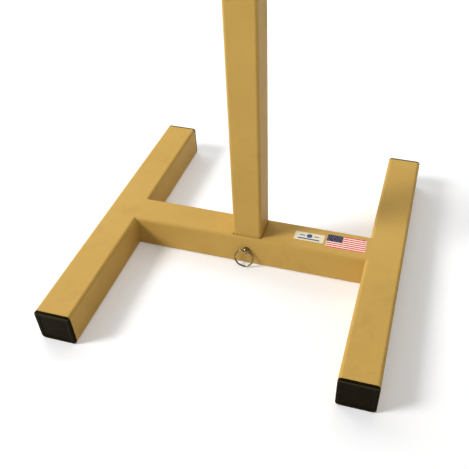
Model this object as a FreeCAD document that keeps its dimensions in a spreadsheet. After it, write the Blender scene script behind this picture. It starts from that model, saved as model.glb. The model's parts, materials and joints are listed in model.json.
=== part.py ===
import FreeCAD, Part
import math
import os

import Sketcher

# Flag pole stand: an H base of heavy square tube, and a square upright that drops through a
# hole in the crossbar's top wall and is held there by a ring pin. The upright's top carries a
# round sleeve for the pole and a clamp screw with a star knob.
#
# Millimetres. +Z is up, X runs along the crossbar, and the origin is on the floor under the
# middle of the crossbar. The front, where the ring pin's head is, faces -Y.

DIMENSIONS = (
    # alias, value, what it is
    ("BaseSize", 76.2, "outside width of the runners' and crossbar's square tube"),
    ("BaseWall", 4.76, "wall of that tube"),
    ("BaseCorner", 7.6, "outside corner radius of that tube"),
    ("RunnerLength", 690.0, "length of a runner's tube, without its caps"),
    ("RunnerSpacing", 597.3, "between the runners' centre lines"),
    ("UprightSize", 63.5, "outside width of the upright's square tube"),
    ("UprightWall", 3.18, "wall of that tube"),
    ("UprightCorner", 6.4, "outside corner radius of that tube"),
    ("UprightLength", 914.4, "length of the upright's tube"),
    ("FootChamfer", 1.5, "chamfer round the upright's foot, clear of the crossbar's corners"),
    ("SocketGap", 1.0, "clearance all round the upright in its socket hole"),
    ("SocketCorner", 2.5, "corner radius of the socket hole"),
    ("SocketPlate", 6.0, "thickness of the plates inside the crossbar"),
    ("SocketPlateFit", 0.2, "gap between those plates and the crossbar's inside faces"),
    ("WeldLeg", 2.0, "leg of the fillet welds beside the crossbar"),
    ("CapFlange", 5.8, "thickness of a cap outside its tube"),
    ("CapBevel", 2.0, "bevel round a cap's outer face"),
    ("CapRim", 8.5, "width of the raised rim round a cap's outer face"),
    ("CapDish", 0.9, "depth of the dished panel inside that rim"),
    ("CapPlug", 22.0, "length of a cap's plug inside its tube"),
    ("CapPlugWall", 2.5, "wall of the plug"),
    ("CapRib", 1.4, "thickness of each rib round the plug"),
    ("CapRibReach", 2.2, "how far the ribs stand out from the plug"),
    ("CapRibPitch", 6.0, "from one rib to the next"),
    ("CapRibCount", 3, "ribs on a plug"),
    ("CapRibGap", 0.1, "between a rib and the tube's inside face"),
    ("PinHeight", 43.0, "height of the ring pin's axis above the floor"),
    ("PinSize", 12.7, "diameter of the pin's shank"),
    ("PinHole", 13.8, "diameter of the holes that the pin goes through"),
    ("PinTail", 10.5, "how far the shank stands out behind the crossbar"),
    ("PinTipChamfer", 2.0, "chamfer on the shank's tip"),
    ("HeadSize", 14.4, "diameter of the pin's head"),
    ("HeadDepth", 10.0, "how far the head stands out in front of the crossbar"),
    ("HeadRound", 5.0, "rounding of the head's outer edge"),
    ("EyeMiddle", 2.2, "radius of the head's cross hole at its middle"),
    ("EyeLand", 2.5, "half length of the cross hole's straight middle part"),
    ("EyeMouth", 3.5, "radius of the cross hole's flared ends"),
    ("EyeReach", 8.0, "half length of the cross hole with its flares"),
    ("EyeTurn", 12.6, "degrees that the pin, with its cross hole, is turned in its holes"),
    ("RingRadius", 20.8, "radius of the pull ring's centre line"),
    ("RingWire", 3.6, "diameter of the pull ring's wire"),
    ("RingLean", 10.0, "degrees that the ring leans forward as it hangs"),
    ("BallSize", 4.0, "diameter of the pin's detent ball"),
    ("BallReach", 0.4, "how far the ball stands out of the shank"),
    ("BallHole", 4.3, "diameter of the ball's hole in the shank"),
    ("BallBehind", 3.4, "from the crossbar's rear face to the ball's centre"),
    ("SpringTop", 2.8, "height of the spring's closed end above the shank's axis"),
    ("SpringSize", 3.4, "outside diameter of the detent spring"),
    ("SpringWire", 0.5, "diameter of its wire"),
    ("SpringTurns", 5, "turns of the detent spring"),
    ("LabelThickness", 0.2, "thickness of both labels"),
    ("MakerLength", 65.0, "length of the plain label along the crossbar"),
    ("MakerWidth", 26.0, "width of the plain label"),
    ("MakerStart", 99.0, "from the middle of the crossbar to the plain label"),
    ("FlagLength", 85.7, "length of the flag label along the crossbar"),
    ("FlagWidth", 41.9, "width of the flag label"),
    ("FlagStart", 169.5, "from the middle of the crossbar to the flag label"),
    ("LabelShift", 1.3, "how far back of the crossbar's middle the labels lie"),
    ("TopPlate", 5.0, "thickness of the plate that closes the upright"),
    ("SleeveSize", 42.16, "outside diameter of the pole sleeve"),
    ("SleeveBore", 35.05, "inside diameter of the pole sleeve"),
    ("SleeveLength", 350.0, "length of the pole sleeve"),
    ("SleeveFit", 0.1, "radial gap between the sleeve and the plates round it"),
    ("SpacerThickness", 5.0, "thickness of the plate that centres the sleeve"),
    ("SpacerGap", 0.4, "between that plate's edge and the upright's inside face"),
    ("SpacerRise", 18.0, "from the sleeve's lower end to that plate"),
    ("StopThickness", 4.0, "thickness of the disc that closes the sleeve"),
    ("StopDrain", 6.0, "diameter of the drain hole in that disc"),
    ("ClampDrop", 48.0, "from the upright's top end down to the clamp screw's axis"),
    ("ClampHole", 11.0, "diameter of the clamp screw's holes in the tubes"),
    ("ScrewSize", 10.0, "diameter of the clamp screw"),
    ("ScrewFit", 0.05, "radial gap between the clamp screw and its nut"),
    ("ScrewEnd", 22.8, "from the upright's axis to the clamp screw's inner end"),
    ("ScrewLength", 44.0, "length of the clamp screw, without its stub"),
    ("ScrewChamfer", 1.0, "chamfer on the clamp screw's inner end"),
    ("StubSize", 4.5, "diameter of the stub that holds the tip"),
    ("StubLength", 2.8, "length of that stub"),
    ("TipSize", 8.0, "diameter of the clamp tip"),
    ("TipLength", 4.2, "length of the clamp tip"),
    ("TipFit", 0.05, "gap between the tip and the stub or the screw's end"),
    ("NutFlats", 17.0, "width across the welded nut's flats"),
    ("NutThickness", 8.4, "thickness of the welded nut"),
    ("KnobStart", 53.0, "from the upright's axis to the knob's hub"),
    ("HubSize", 20.0, "diameter of the knob's hub"),
    ("HubLength", 7.0, "length of the knob's hub"),
    ("KnobSize", 42.0, "diameter over the knob's lobes"),
    ("KnobThickness", 15.0, "thickness of the lobed part of the knob"),
    ("KnobLobes", 6, "hollows round the knob"),
    ("KnobHollow", 13.0, "diameter of each hollow"),
    ("KnobHollowCircle", 24.5, "radius of the circle that the hollows' centres lie on"),
    ("KnobEdge", 2.0, "rounding of the knob's outer edges"),
)

PARTS_FOLDER = "parts"
SPRING_SIDE = 60    # degrees that each flat of the spring's hexagonal wire covers

doc = FreeCAD.newDocument("FlagPoleStand")
nodes = []


# ---------------------------------------------------------------- the sheet and its values


def make_sheet():
    """Put the driving dimensions in a spreadsheet, one per row, with an alias each."""
    dims = doc.addObject("Spreadsheet::Sheet", "Dims")
    for row, (alias, size, meaning) in enumerate(DIMENSIONS, start=1):
        dims.set(f"A{row}", alias)
        dims.set(f"B{row}", str(size))
        dims.set(f"C{row}", meaning)
        dims.setAlias(f"B{row}", alias)
    doc.recompute()
    return dims


sheet = make_sheet()


def value(expression):
    """Work out an expression in the sheet's aliases."""
    return float(sheet.evalExpression(expression.replace("Dims.", "")))


# ---------------------------------------------------------------- helpers for features


def bind(target, prop, expression):
    """Tie a property to an expression in the sheet's aliases."""
    target.setExpression(prop, expression)


def place(target, x="0", y="0", z="0", turn=None):
    """Place a finished sub-part, turned by an axis and an angle, and list it as a node."""
    rotation = FreeCAD.Rotation() if turn is None else FreeCAD.Rotation(*turn)
    target.Placement = FreeCAD.Placement(FreeCAD.Vector(value(x), value(y), value(z)), rotation)
    for letter, expression in zip("xyz", (x, y, z)):
        if expression != "0":
            bind(target, f"Placement.Base.{letter}", expression)
    nodes.append(target)
    return target


def make_body(name):
    body = doc.addObject("PartDesign::Body", name)
    body.Label = name
    return body


def make_sketch(body, name, role, lift="0", shift="0", turn="0"):
    """Attach a sketch to one of the body's own planes.

    lift moves it along the plane's normal, shift moves it along the sketch's own Y axis, and
    turn is the degrees that it turns about that axis.
    """
    sketch = body.newObject("Sketcher::SketchObject", f"{body.Name}_{name}")
    plane = next(item for item in body.Origin.OriginFeatures if item.Role == role)
    sketch.AttachmentSupport = [(plane, "")]
    sketch.MapMode = "FlatFace"
    sketch.AttachmentOffset = FreeCAD.Placement(
        FreeCAD.Vector(), FreeCAD.Rotation(FreeCAD.Vector(0, 1, 0), value(turn)))
    if lift != "0":
        bind(sketch, "AttachmentOffset.Base.z", lift)
    if shift != "0":
        bind(sketch, "AttachmentOffset.Base.y", shift)
    return sketch


def name_and_bind(sketch, index, expression):
    """Name a constraint after its number, and tie it to the sheet."""
    label = f"Size{index}"
    sketch.renameConstraint(index, label)
    bind(sketch, f"Constraints.{label}", expression)


def draw_circle(sketch, diameter, x="0", y="0"):
    """Draw a circle whose diameter and centre come from the sheet."""
    centre = FreeCAD.Vector(value(x), value(y), 0)
    circle = sketch.addGeometry(Part.Circle(centre, FreeCAD.Vector(0, 0, 1), value(diameter) / 2))
    size = sketch.addConstraint(Sketcher.Constraint("Diameter", circle, value(diameter)))
    name_and_bind(sketch, size, diameter)
    pin_point(sketch, circle, 3, x, y)


def pin_point(sketch, geometry, point, x, y):
    """Fix a point of a sketch at a distance from the sketch's origin."""
    for kind, axis, expression in (("DistanceX", -2, x), ("DistanceY", -1, y)):
        if expression == "0":
            sketch.addConstraint(Sketcher.Constraint("PointOnObject", geometry, point, axis))
        else:
            rule = Sketcher.Constraint(kind, -1, 1, geometry, point, value(expression))
            name_and_bind(sketch, sketch.addConstraint(rule), expression)


def draw_polygon(sketch, corners):
    """Draw a closed outline of straight lines through corners given as pairs of expressions."""
    points = [FreeCAD.Vector(value(x), value(y), 0) for x, y in corners]
    count = len(points)
    lines = [
        sketch.addGeometry(Part.LineSegment(points[i], points[(i + 1) % count]))
        for i in range(count)
    ]
    for i, line in enumerate(lines):
        sketch.addConstraint(Sketcher.Constraint("Coincident", line, 2, lines[(i + 1) % count], 1))
    for line, (x, y) in zip(lines, corners):
        pin_point(sketch, line, 1, x, y)


def draw_rounded_square(sketch, side, corner):
    """Draw a square with rounded corners, centred on the sketch's origin."""
    half = value(side) / 2
    radius = value(corner)
    centre = half - radius
    up = FreeCAD.Vector(0, 0, 1)
    lines = []
    arcs = []
    for quarter in range(4):
        turn = FreeCAD.Rotation(up, 90 * quarter)
        start = turn.multVec(FreeCAD.Vector(-centre, -half, 0))
        end = turn.multVec(FreeCAD.Vector(centre, -half, 0))
        lines.append(sketch.addGeometry(Part.LineSegment(start, end)))
        round_centre = turn.multVec(FreeCAD.Vector(centre, -centre, 0))
        circle = Part.Circle(round_centre, up, radius)
        first = math.radians(90 * quarter - 90)
        arcs.append(sketch.addGeometry(Part.ArcOfCircle(circle, first, first + math.pi / 2)))
    for quarter in range(4):
        arc = arcs[quarter]
        following = lines[(quarter + 1) % 4]
        sketch.addConstraint(Sketcher.Constraint("Tangent", lines[quarter], 2, arc, 1))
        sketch.addConstraint(Sketcher.Constraint("Tangent", arc, 2, following, 1))
        direction = "Horizontal" if quarter % 2 == 0 else "Vertical"
        sketch.addConstraint(Sketcher.Constraint(direction, lines[quarter]))
        if quarter:
            sketch.addConstraint(Sketcher.Constraint("Equal", arcs[0], arc))
    sketch.addConstraint(Sketcher.Constraint("Equal", lines[0], lines[1]))
    sketch.addConstraint(Sketcher.Constraint("Symmetric", arcs[3], 3, arcs[1], 3, -1, 1))
    size = sketch.addConstraint(Sketcher.Constraint("Radius", arcs[0], radius))
    name_and_bind(sketch, size, corner)
    gap = sketch.addConstraint(Sketcher.Constraint("DistanceX", arcs[3], 3, arcs[0], 3, 2 * centre))
    name_and_bind(sketch, gap, f"{side} - 2 * ({corner})")


def pad(body, sketch, length, both_sides=False, reverse=False):
    """Extrude a sketch, from its plane or to both sides of it."""
    feature = body.newObject("PartDesign::Pad", f"{sketch.Name}_Pad")
    feature.Profile = sketch
    feature.SideType = "Symmetric" if both_sides else "One side"
    feature.Reversed = reverse
    bind(feature, "Length", length)
    doc.recompute()
    return feature


def pocket(body, sketch, length=None, both_sides=False, reverse=False):
    """Cut a sketch's outline away, and make sure that it took material with it."""
    before = body.Shape.Volume
    feature = body.newObject("PartDesign::Pocket", f"{sketch.Name}_Pocket")
    feature.Profile = sketch
    feature.SideType = "Symmetric" if both_sides else "One side"
    feature.Reversed = reverse
    if length is None:
        feature.Type = "ThroughAll"
    else:
        bind(feature, "Length", length)
    doc.recompute()
    if not body.Shape.Volume < before:
        raise RuntimeError(f"{feature.Name} cuts nothing")
    return feature


def turn_profile(body, sketch, kind, axis):
    """Revolve a sketch round one of its axes, adding a solid or cutting one away."""
    feature = body.newObject(f"PartDesign::{kind}", f"{sketch.Name}_{kind}")
    feature.Profile = sketch
    feature.ReferenceAxis = (sketch, [axis])
    feature.Angle = 360
    doc.recompute()
    return feature


def dress(body, kind, prop, size, chosen):
    """Fillet or chamfer the edges of the body's last shape that the test chooses."""
    base = body.Tip
    names = [f"Edge{i}" for i, edge in enumerate(base.Shape.Edges, start=1) if chosen(edge)]
    if not names:
        raise RuntimeError(f"{body.Name} has no edge to {kind.lower()}")
    feature = body.newObject(f"PartDesign::{kind}", f"{body.Name}_{kind}")
    feature.Base = (base, names)
    bind(feature, prop, size)
    doc.recompute()
    return feature


def edge_lies_at(axis, height):
    """Test for an edge that lies in a plane across one of the axes."""
    def test(edge):
        low = getattr(edge.BoundBox, f"{axis}Min")
        high = getattr(edge.BoundBox, f"{axis}Max")
        return abs(low - height) < 0.01 and abs(high - height) < 0.01
    return test


def reaches_out(edge, distance):
    """Test for an edge that reaches at least so far from the Z axis, along X or Y."""
    box = edge.BoundBox
    furthest = max(abs(box.XMin), abs(box.XMax), abs(box.YMin), abs(box.YMax))
    return furthest > distance - 0.01


def repeat_along(body, feature, sketch, length, count):
    """Repeat a feature along its sketch's normal."""
    pattern = body.newObject("PartDesign::LinearPattern", f"{feature.Name}_Row")
    pattern.Originals = [feature]
    pattern.Direction = (sketch, ["N_Axis"])
    bind(pattern, "Length", length)
    bind(pattern, "Occurrences", count)
    body.Tip = pattern
    doc.recompute()
    return pattern


def repeat_round(body, feature, sketch, count):
    """Repeat a feature round its sketch's normal."""
    pattern = body.newObject("PartDesign::PolarPattern", f"{feature.Name}_Round")
    pattern.Originals = [feature]
    pattern.Axis = (sketch, ["N_Axis"])
    pattern.Angle = 360
    bind(pattern, "Occurrences", count)
    body.Tip = pattern
    doc.recompute()
    return pattern


# ---------------------------------------------------------------- the H base

BASE_INSIDE = "(Dims.BaseSize - 2 * Dims.BaseWall)"
UPRIGHT_INSIDE = "(Dims.UprightSize - 2 * Dims.UprightWall)"
CROSSBAR_LENGTH = "(Dims.RunnerSpacing - Dims.BaseSize)"
SOCKET_SIDE = "(Dims.UprightSize + 2 * Dims.SocketGap)"
PLATE_TOP = "(Dims.BaseWall + Dims.UprightLength + Dims.TopPlate)"
CLAMP_HEIGHT = "(Dims.BaseWall + Dims.UprightLength - Dims.ClampDrop)"
EYE_MIDDLE = "(-Dims.BaseSize / 2 - Dims.HeadDepth / 2)"


def square_tube(name, role, length, size, wall, corner, both_sides=True):
    """A length of square tube with rounded corners inside and out."""
    body = make_body(name)
    section = make_sketch(body, "section", role)
    draw_rounded_square(section, size, corner)
    draw_rounded_square(section, f"{size} - 2 * {wall}", f"{corner} - {wall}")
    pad(body, section, length, both_sides=both_sides)
    return body


def base_tube(name, role, length):
    return square_tube(name, role, length, "Dims.BaseSize", "Dims.BaseWall", "Dims.BaseCorner")


def make_runners():
    for side, sign in (("left", "-"), ("right", "")):
        runner = base_tube(f"{side}_runner", "XZ_Plane", "Dims.RunnerLength")
        place(runner, x=f"{sign}Dims.RunnerSpacing / 2", z="Dims.BaseSize / 2")


def make_crossbar():
    """The crossbar, with the upright's hole in its top wall and the pin's holes across it."""
    body = base_tube("crossbar", "YZ_Plane", CROSSBAR_LENGTH)
    socket = make_sketch(body, "socket", "XY_Plane", lift="Dims.BaseSize / 2")
    draw_rounded_square(socket, SOCKET_SIDE, "Dims.SocketCorner")
    pocket(body, socket, length="Dims.BaseSize / 4")
    holes = make_sketch(body, "pin_holes", "XZ_Plane")
    draw_circle(holes, "Dims.PinHole", y="Dims.PinHeight - Dims.BaseSize / 2")
    pocket(body, holes, both_sides=True)
    place(body, z="Dims.BaseSize / 2")


def make_socket_plates():
    """Two plates inside the crossbar, one each side of the upright's foot."""
    offset = f"({SOCKET_SIDE} / 2)"
    for side, start in (("left", f"-{offset} - Dims.SocketPlate"), ("right", offset)):
        plate = doc.addObject("Part::Box", f"{side}_socket_plate")
        plate.Label = f"{side}_socket_plate"
        width = f"{BASE_INSIDE} - 2 * Dims.SocketPlateFit - 2 * (Dims.BaseCorner - Dims.BaseWall)"
        bind(plate, "Length", "Dims.SocketPlate")
        bind(plate, "Width", width)
        bind(plate, "Height", f"{BASE_INSIDE} - Dims.SocketPlateFit")
        place(plate, x=start, y=f"-({width}) / 2", z="Dims.BaseWall")


def rounded_bar(side, corner, start, end):
    """A solid square bar with rounded edges along X, centred on the X axis."""
    half = side / 2
    bar = Part.makeBox(end - start, side, side, FreeCAD.Vector(start, -half, -half))
    along = [edge for edge in bar.Edges if edge.BoundBox.XLength > (end - start) / 2]
    return bar.makeFillet(corner, along)


def make_weld_seams():
    """The welds round each end of the crossbar.

    Above and below, the weld fills the groove beside the runner's rounded corner and is ground
    flush. At the front and rear it is a small fillet.
    """
    size = value("Dims.BaseSize")
    corner = value("Dims.BaseCorner")
    leg = value("Dims.WeldLeg")
    reach = value("Dims.RunnerSpacing") / 2
    joint = reach - size / 2
    runner = rounded_bar(size, corner, -size, size)
    runner.rotate(FreeCAD.Vector(), FreeCAD.Vector(0, 0, 1), 90)
    runner.translate(FreeCAD.Vector(reach, 0, 0))
    seams = rounded_bar(size, corner, joint, joint + corner).cut(runner).Solids
    for side in (-1, 1):
        face_y = side * size / 2
        low = -size / 2 + corner
        outline = Part.makePolygon([
            FreeCAD.Vector(joint, face_y, low),
            FreeCAD.Vector(joint - leg, face_y, low),
            FreeCAD.Vector(joint, face_y + side * leg, low),
            FreeCAD.Vector(joint, face_y, low),
        ])
        bead = Part.Face(outline).extrude(FreeCAD.Vector(0, 0, size - 2 * corner))
        seams.append(bead)
    for side, half_turn in (("left", 180), ("right", 0)):
        seam = doc.addObject("Part::Feature", f"{side}_weld_seam")
        seam.Label = f"{side}_weld_seam"
        seam.Shape = Part.makeCompound(seams)
        place(seam, z="Dims.BaseSize / 2", turn=(FreeCAD.Vector(0, 0, 1), half_turn))


def make_end_cap(name):
    """A ribbed plug cap. Its outer face looks along +Z, and its flange sits on the XY plane."""
    body = make_body(name)
    flange = make_sketch(body, "flange", "XY_Plane")
    draw_rounded_square(flange, "Dims.BaseSize", "Dims.BaseCorner")
    pad(body, flange, "Dims.CapFlange")
    outer_face = edge_lies_at("Z", value("Dims.CapFlange"))
    dress(body, "Chamfer", "Size", "Dims.CapBevel", outer_face)
    dish = make_sketch(body, "dish", "XY_Plane", lift="Dims.CapFlange")
    draw_rounded_square(dish, "Dims.BaseSize - 2 * Dims.CapRim", "Dims.BaseCorner / 2")
    pocket(body, dish, length="Dims.CapDish")
    plug_side = f"{BASE_INSIDE} - 2 * Dims.CapRibGap - 2 * Dims.CapRibReach"
    plug_corner = "Dims.BaseCorner - Dims.BaseWall"
    plug = make_sketch(body, "plug", "XY_Plane")
    draw_rounded_square(plug, plug_side, plug_corner)
    draw_rounded_square(plug, f"{plug_side} - 2 * Dims.CapPlugWall", "Dims.CapPlugWall / 4")
    pad(body, plug, "Dims.CapPlug", reverse=True)
    rib = make_sketch(body, "rib", "XY_Plane", lift="-Dims.CapRibPitch / 2 - Dims.CapRib")
    draw_rounded_square(rib, f"{BASE_INSIDE} - 2 * Dims.CapRibGap", plug_corner)
    draw_rounded_square(rib, f"{plug_side} - Dims.CapPlugWall", "Dims.CapPlugWall / 4")
    first = pad(body, rib, "Dims.CapRib")
    row = repeat_along(body, first, rib, "Dims.CapRibPitch * (Dims.CapRibCount - 1)",
                       "Dims.CapRibCount")
    row.Reversed = True
    doc.recompute()
    return body


def make_end_caps():
    """Four caps, turned so that their outer faces look along -Y or +Y."""
    for side, sign in (("left", "-"), ("right", "")):
        for end, end_sign, tilt in (("front", "-", 90), ("rear", "", -90)):
            cap = make_end_cap(f"{side}_{end}_cap")
            place(cap, x=f"{sign}Dims.RunnerSpacing / 2", y=f"{end_sign}Dims.RunnerLength / 2",
                  z="Dims.BaseSize / 2", turn=(FreeCAD.Vector(1, 0, 0), tilt))


def make_label(name, length, width, start):
    """A thin label stuck on the crossbar's top face."""
    label = doc.addObject("Part::Box", name)
    label.Label = name
    bind(label, "Length", length)
    bind(label, "Width", width)
    bind(label, "Height", "Dims.LabelThickness")
    place(label, x=start, y=f"Dims.LabelShift - {width} / 2", z="Dims.BaseSize")


# ---------------------------------------------------------------- the ring pin


def make_lock_pin():
    """The pin. Its axis is Y, and its head's shoulder is on the XZ plane."""
    body = make_body("lock_pin")
    length = "(Dims.BaseSize + Dims.PinTail)"
    profile = make_sketch(body, "profile", "XY_Plane")
    draw_polygon(profile, (
        ("0", "-Dims.HeadDepth"),
        ("Dims.HeadSize / 2", "-Dims.HeadDepth"),
        ("Dims.HeadSize / 2", "0"),
        ("Dims.PinSize / 2", "0"),
        ("Dims.PinSize / 2", f"{length} - Dims.PinTipChamfer"),
        ("Dims.PinSize / 2 - Dims.PinTipChamfer", length),
        ("0", length),
    ))
    turn_profile(body, profile, "Revolution", "V_Axis")
    front_edge = edge_lies_at("Y", -value("Dims.HeadDepth"))
    dress(body, "Fillet", "Radius", "Dims.HeadRound", front_edge)
    eye = make_sketch(body, "eye", "XY_Plane", shift="-Dims.HeadDepth / 2",
                      turn="Dims.EyeTurn")
    draw_polygon(eye, (
        ("-Dims.EyeReach", "0"),
        ("Dims.EyeReach", "0"),
        ("Dims.EyeReach", "Dims.EyeMouth"),
        ("Dims.EyeLand", "Dims.EyeMiddle"),
        ("-Dims.EyeLand", "Dims.EyeMiddle"),
        ("-Dims.EyeReach", "Dims.EyeMouth"),
    ))
    before = body.Shape.Volume
    turn_profile(body, eye, "Groove", "H_Axis")
    if not body.Shape.Volume < before:
        raise RuntimeError("the pin's cross hole cuts nothing")
    seat = make_sketch(body, "ball_hole", "XY_Plane", lift="Dims.SpringTop")
    draw_circle(seat, "Dims.BallHole", y="Dims.BaseSize + Dims.BallBehind")
    pocket(body, seat)
    place(body, y="-Dims.BaseSize / 2", z="Dims.PinHeight")


def make_pull_ring():
    """The ring that hangs in the head's cross hole."""
    ring = doc.addObject("Part::Torus", "pull_ring")
    ring.Label = "pull_ring"
    bind(ring, "Radius1", "Dims.RingRadius")
    bind(ring, "Radius2", "Dims.RingWire / 2")
    drop = "Dims.RingRadius * cos(Dims.RingLean)"
    spin = FreeCAD.Rotation(FreeCAD.Vector(0, 1, 0), value("Dims.EyeTurn"))
    lean = FreeCAD.Rotation(FreeCAD.Vector(1, 0, 0), 90 - value("Dims.RingLean"))
    place(ring, x=f"-{drop} * sin(Dims.EyeTurn)",
          y=f"{EYE_MIDDLE} - Dims.RingRadius * sin(Dims.RingLean)",
          z=f"Dims.PinHeight - {drop} * cos(Dims.EyeTurn)", turn=(spin.multiply(lean),))


def make_detent():
    """The ball that holds the pin in place, and the spring above it."""
    ball_y = "Dims.BaseSize / 2 + Dims.BallBehind"
    ball_drop = "(Dims.PinSize / 2 + Dims.BallReach - Dims.BallSize / 2)"
    coil_circle = "(Dims.SpringSize / 2 - Dims.SpringWire / 2)"
    touch = f"sqrt((Dims.BallSize / 2 + Dims.SpringWire / 2)^2 - {coil_circle}^2)"
    bottom = f"({touch} - {ball_drop} + Dims.SpringWire / 8)"
    top = "(Dims.SpringTop - Dims.SpringWire * 0.6)"
    ball = doc.addObject("Part::Sphere", "detent_ball")
    ball.Label = "detent_ball"
    bind(ball, "Radius", "Dims.BallSize / 2")
    place(ball, y=ball_y, z=f"Dims.PinHeight - {ball_drop}")

    spring = make_body("detent_spring")
    wire = make_sketch(spring, "wire", "XZ_Plane")
    draw_polygon(wire, [
        (f"{coil_circle} + Dims.SpringWire / 2 * cos({angle})", f"Dims.SpringWire / 2 * sin({angle})")
        for angle in range(SPRING_SIDE // 2, 360, SPRING_SIDE)
    ])
    helix = spring.newObject("PartDesign::AdditiveHelix", "detent_spring_helix")
    helix.Profile = wire
    helix.ReferenceAxis = (wire, ["V_Axis"])
    helix.Mode = "height-turns-angle"
    bind(helix, "Height", f"{top} - {bottom}")
    bind(helix, "Turns", "Dims.SpringTurns")
    doc.recompute()
    place(spring, y=ball_y, z=f"Dims.PinHeight + {bottom}")


# ---------------------------------------------------------------- the upright and its top


def make_upright():
    """The upright, with holes for the ring pin at its foot and for the clamp screw near its top."""
    body = square_tube("upright_tube", "XY_Plane", "Dims.UprightLength", "Dims.UprightSize",
                       "Dims.UprightWall", "Dims.UprightCorner", both_sides=False)
    half = value("Dims.UprightSize") / 2
    on_foot = edge_lies_at("Z", 0)
    dress(body, "Chamfer", "Size", "Dims.FootChamfer",
          lambda edge: on_foot(edge) and reaches_out(edge, half))
    pin_holes = make_sketch(body, "pin_holes", "XZ_Plane")
    draw_circle(pin_holes, "Dims.PinHole", y="Dims.PinHeight - Dims.BaseWall")
    pocket(body, pin_holes, both_sides=True)
    clamp_hole = make_sketch(body, "clamp_hole", "YZ_Plane")
    draw_circle(clamp_hole, "Dims.ClampHole", y="Dims.UprightLength - Dims.ClampDrop")
    pocket(body, clamp_hole, length="Dims.UprightSize", reverse=True)
    place(body, z="Dims.BaseWall")


def make_bored_plate(name, side, corner, thickness, hole, top):
    """A square plate with rounded corners and a round hole, hung below its top face."""
    body = make_body(name)
    outline = make_sketch(body, "outline", "XY_Plane")
    draw_rounded_square(outline, side, corner)
    draw_circle(outline, hole)
    pad(body, outline, thickness, reverse=True)
    place(body, z=top)


def make_sleeve_plates():
    """The plate that closes the upright, and the one that centres the sleeve's lower end."""
    hole = "Dims.SleeveSize + 2 * Dims.SleeveFit"
    make_bored_plate("top_plate", "Dims.UprightSize", "Dims.UprightCorner", "Dims.TopPlate",
                     hole, PLATE_TOP)
    make_bored_plate("sleeve_spacer", f"{UPRIGHT_INSIDE} - 2 * Dims.SpacerGap",
                     "Dims.UprightCorner - Dims.UprightWall", "Dims.SpacerThickness", hole,
                     f"{PLATE_TOP} - Dims.SleeveLength + Dims.SpacerRise")


def make_pole_sleeve():
    """The round sleeve that takes the pole, open at the top and drilled for the clamp tip."""
    body = make_body("pole_sleeve")
    section = make_sketch(body, "section", "XY_Plane")
    draw_circle(section, "Dims.SleeveSize")
    draw_circle(section, "Dims.SleeveBore")
    pad(body, section, "Dims.SleeveLength", reverse=True)
    hole = make_sketch(body, "clamp_hole", "YZ_Plane")
    draw_circle(hole, "Dims.ClampHole", y="-Dims.TopPlate - Dims.ClampDrop")
    pocket(body, hole, length="Dims.SleeveSize", reverse=True)
    place(body, z=PLATE_TOP)


def make_pole_stop():
    """The disc that the pole stands on, with a drain hole."""
    body = make_body("pole_stop")
    outline = make_sketch(body, "outline", "XY_Plane")
    draw_circle(outline, "Dims.SleeveSize")
    draw_circle(outline, "Dims.StopDrain")
    pad(body, outline, "Dims.StopThickness", reverse=True)
    place(body, z=f"{PLATE_TOP} - Dims.SleeveLength")


# ---------------------------------------------------------------- the clamp


def make_clamp_nut():
    """A hexagonal nut welded to the upright's right face."""
    block = doc.addObject("Part::Prism", "clamp_nut_block")
    block.Polygon = 6
    bind(block, "Circumradius", "Dims.NutFlats / 2 / cos(30)")
    bind(block, "Height", "Dims.NutThickness")
    bore = doc.addObject("Part::Cylinder", "clamp_nut_bore")
    bind(bore, "Radius", "Dims.ScrewSize / 2 + Dims.ScrewFit")
    bind(bore, "Height", "Dims.NutThickness")
    nut = doc.addObject("Part::Cut", "clamp_nut")
    nut.Label = "clamp_nut"
    nut.Base = block
    nut.Tool = bore
    place(nut, x="Dims.UprightSize / 2", z=CLAMP_HEIGHT, turn=(FreeCAD.Vector(0, 1, 0), 90))


def make_clamp_screw():
    """The clamp screw, with a stub at its inner end. Its axis is X."""
    body = make_body("clamp_screw")
    shank = make_sketch(body, "shank", "YZ_Plane")
    draw_circle(shank, "Dims.ScrewSize")
    pad(body, shank, "Dims.ScrewLength")
    dress(body, "Chamfer", "Size", "Dims.ScrewChamfer", edge_lies_at("X", 0))
    stub = make_sketch(body, "stub", "YZ_Plane")
    draw_circle(stub, "Dims.StubSize")
    pad(body, stub, "Dims.StubLength", reverse=True)
    place(body, x="Dims.ScrewEnd", z=CLAMP_HEIGHT)


def make_clamp_tip():
    """The soft tip that bears on the pole, with a blind hole for the screw's stub."""
    body = make_body("clamp_tip")
    outline = make_sketch(body, "outline", "YZ_Plane")
    draw_circle(outline, "Dims.TipSize")
    pad(body, outline, "Dims.TipLength", reverse=True)
    dress(body, "Chamfer", "Size", "Dims.ScrewChamfer / 2",
          edge_lies_at("X", -value("Dims.TipLength")))
    hole = make_sketch(body, "stub_hole", "YZ_Plane")
    draw_circle(hole, "Dims.StubSize + 2 * Dims.TipFit")
    pocket(body, hole, length="Dims.StubLength")
    place(body, x="Dims.ScrewEnd - Dims.TipFit", z=CLAMP_HEIGHT)


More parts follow.
